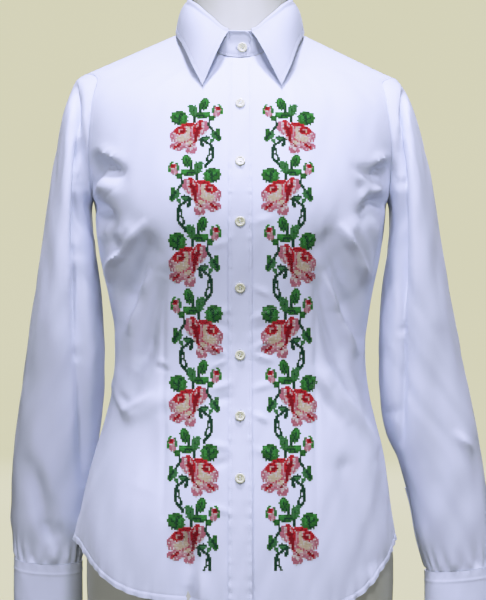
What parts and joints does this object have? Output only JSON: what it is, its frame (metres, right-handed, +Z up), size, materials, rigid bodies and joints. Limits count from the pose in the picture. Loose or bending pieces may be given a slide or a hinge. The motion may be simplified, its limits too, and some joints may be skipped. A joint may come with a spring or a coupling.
{
  "type": "embroidered shirt on dress form",
  "caption": "White fitted long-sleeved shirt with a pointed collar, button placket and cross-stitched rose columns down its front, worn by a pale limbless dress form.",
  "frame": {"origin": "middle of the dress form's flat base", "axes": "+Z up, -Y the way the shirt's front faces, +X towards the wearer's left"},
  "size_m": [0.5738, 0.2708, 0.876],
  "materials": {
    "cotton": "fine plain-weave cotton, slight sheen",
    "button": "pearly polished",
    "form": "smooth satin"
  },
  "bodies": {
    "root": {"back": "cotton", "button_1": "button", "button_2": "button", "button_3": "button", "button_4": "button", "button_5": "button", "button_6": "button", "button_7": "button", "button_placket": "cotton", "collar_button": "button", "collar_leaf": "cotton", "collar_stand": "cotton", "cuff_button_left": "button", "cuff_button_right": "button", "cuff_left": "cotton", "cuff_right": "cotton", "dress_form": "form", "front_left": "cotton", "front_right": "cotton", "sleeve_left": "cotton", "sleeve_placket_left": "cotton", "sleeve_placket_right": "cotton", "sleeve_right": "cotton"}
  },
  "joints": []
}
